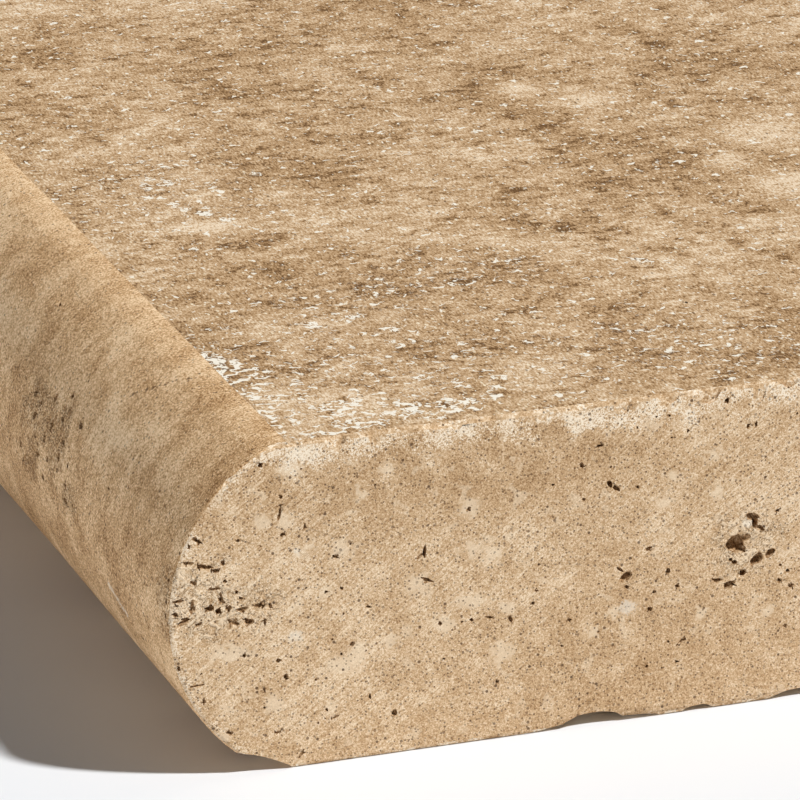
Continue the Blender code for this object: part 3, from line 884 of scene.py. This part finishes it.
def finish_name(middle, normal, corners):
    """Name of the finish of a face with the given middle, normal and corners."""
    under = depths(middle)
    side = min(under, key=under.get)
    nearest, second = sorted(under.values())[:2]
    flat = max(abs(part) for part in normal) > FLAT and nearest < SKIN
    if side != "nose" and (flat or all(depths(corner)[side] < SKIN / 2 for corner in corners)):
        return "top" if side == "top" else "sawn"
    out = middle - NOSE_CENTRE
    out.y = 0
    if side == "nose" and nearest < NOSE_WAVES and normal.dot(out.normalized()) > NOSE_FACING:
        return "nose"
    beside_arris = abs(middle.x - NOSE_ARRIS_X) < GROUND_ARRIS and nearest < GROUND_SKIN
    if beside_arris and abs(normal.y) < ENDWAYS:
        return "nose"
    beside_chips = under["bed"] < BED_CHIPS_UP or under["top"] < TOP_CHIPS_DOWN
    if under["near"] < CHIPS_REACH and beside_chips:
        return "chip"
    if second < SAWN_ARRIS:
        return "chip" if under["top"] < SAWN_ARRIS else "sawn"
    return "hole"


def finish_faces(stone, finishes):
    """Gives each face of the solid its finish: top, nose, sawn faces, holes and chips."""
    names = list(finishes)
    stone.data.materials.clear()
    for finish in finishes.values():
        stone.data.materials.append(finish)
    for face in stone.data.polygons:
        corners = [stone.data.vertices[number].co for number in face.vertices]
        face.material_index = names.index(finish_name(face.center, face.normal, corners))


def take_out_slivers(stone):
    """Takes out the slivers that the cuts left. Only triangles are safe to shrink away."""
    make_active(stone)
    bpy.ops.object.mode_set(mode="EDIT")
    bpy.ops.mesh.select_all(action="SELECT")
    bpy.ops.mesh.quads_convert_to_tris(quad_method="BEAUTY", ngon_method="BEAUTY")
    bpy.ops.mesh.select_all(action="SELECT")
    bpy.ops.mesh.dissolve_degenerate(threshold=SLIVER)
    bpy.ops.object.mode_set(mode="OBJECT")


def copy_of_solid():
    """A copy of the solid to work on, with its loose triangles merged."""
    deselect_all()
    stone = bpy.data.objects.new("travertine_slab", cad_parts[STONE].data.copy())
    bpy.context.scene.collection.objects.link(stone)
    make_active(stone)
    bpy.ops.object.mode_set(mode="EDIT")
    bpy.ops.mesh.select_all(action="SELECT")
    bpy.ops.mesh.remove_doubles(threshold=SAME_PLACE)
    bpy.ops.object.mode_set(mode="OBJECT")
    return stone


def travertine_slab():
    numbers = random.Random(SEED)
    stone = copy_of_solid()
    finishes = {
        "top": brushed_top(),
        "nose": honed_nose(),
        "sawn": sawn_face(),
        "hole": hole_wall(),
        "chip": chipped(),
    }
    finish_faces(stone, finishes)
    holes, arms = hole_cutters(numbers, finishes["hole"])
    for nibbles in nibble_cutters(numbers, finishes["chip"], finishes["sawn"]):
        cut_out(stone, nibbles)
    cut_out(stone, holes)
    cut_out(stone, arms, crossing=True)
    take_out_slivers(stone)
    bpy.ops.object.shade_smooth_by_angle(angle=SMOOTH_UP_TO)
    weighted = stone.modifiers.new("even_shading", "WEIGHTED_NORMAL")
    weighted.keep_sharp = True
    bpy.ops.object.modifier_apply(modifier=weighted.name)
    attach(stone, "root")
    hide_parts(STONE)
    return stone


# Studio.


def studio_floor():
    deselect_all()
    bpy.ops.mesh.primitive_plane_add(size=FLOOR_SIZE, location=(0, 0, LOW.z))
    floor = bpy.context.object
    floor.name = "studio_floor"
    finish = Finish("studio_floor")
    finish.shader.inputs["Base Color"].default_value = (*FLOOR_COLOUR, 1)
    finish.shader.inputs["Roughness"].default_value = 0.9
    finish.shader.inputs["Specular IOR Level"].default_value = 0.1
    floor.data.materials.append(finish.material)
    floor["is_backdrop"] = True


def soft_sun(name, azimuth, height, spread, strength):
    lamp = bpy.data.lights.new(name, "SUN")
    lamp.energy = strength
    lamp.angle = math.radians(spread)
    sun = bpy.data.objects.new(name, lamp)
    around, up = math.radians(azimuth), math.radians(height)
    flat = Vector((math.sin(around), -math.cos(around), 0)) * math.cos(up)
    towards = flat + Vector((0, 0, math.sin(up)))
    sun.rotation_euler = towards.to_track_quat("Z", "Y").to_euler()
    bpy.context.scene.collection.objects.link(sun)


def sky():
    world = bpy.data.worlds.new("studio")
    world.use_nodes = True
    background = world.node_tree.nodes["Background"]
    background.inputs["Color"].default_value = (1, 1, 1, 1)
    background.inputs["Strength"].default_value = SKY_STRENGTH
    bpy.context.scene.world = world


def camera():
    data = bpy.data.cameras.new("camera")
    data.lens = CAMERA_LENS
    data.sensor_width = SENSOR_WIDTH
    data.clip_start = 0.01
    data.clip_end = 200
    view = bpy.data.objects.new("camera", data)
    view.location = Vector((LOW.x, LOW.y, LOW.z)) + CAMERA_OFFSET
    view.rotation_euler = (math.pi / 2 - CAMERA_PITCH, 0, -CAMERA_YAW)
    bpy.context.scene.collection.objects.link(view)
    bpy.context.scene.camera = view


travertine_slab()
studio_floor()
soft_sun("key", *KEY_LIGHT)
soft_sun("fill", *FILL_LIGHT)
sky()
camera()
bpy.context.scene.view_settings.view_transform = "Standard"

boxes = {"cad": cad_bounds, "visual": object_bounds()}
{name: [list(corner) for corner in box] for name, box in boxes.items()}
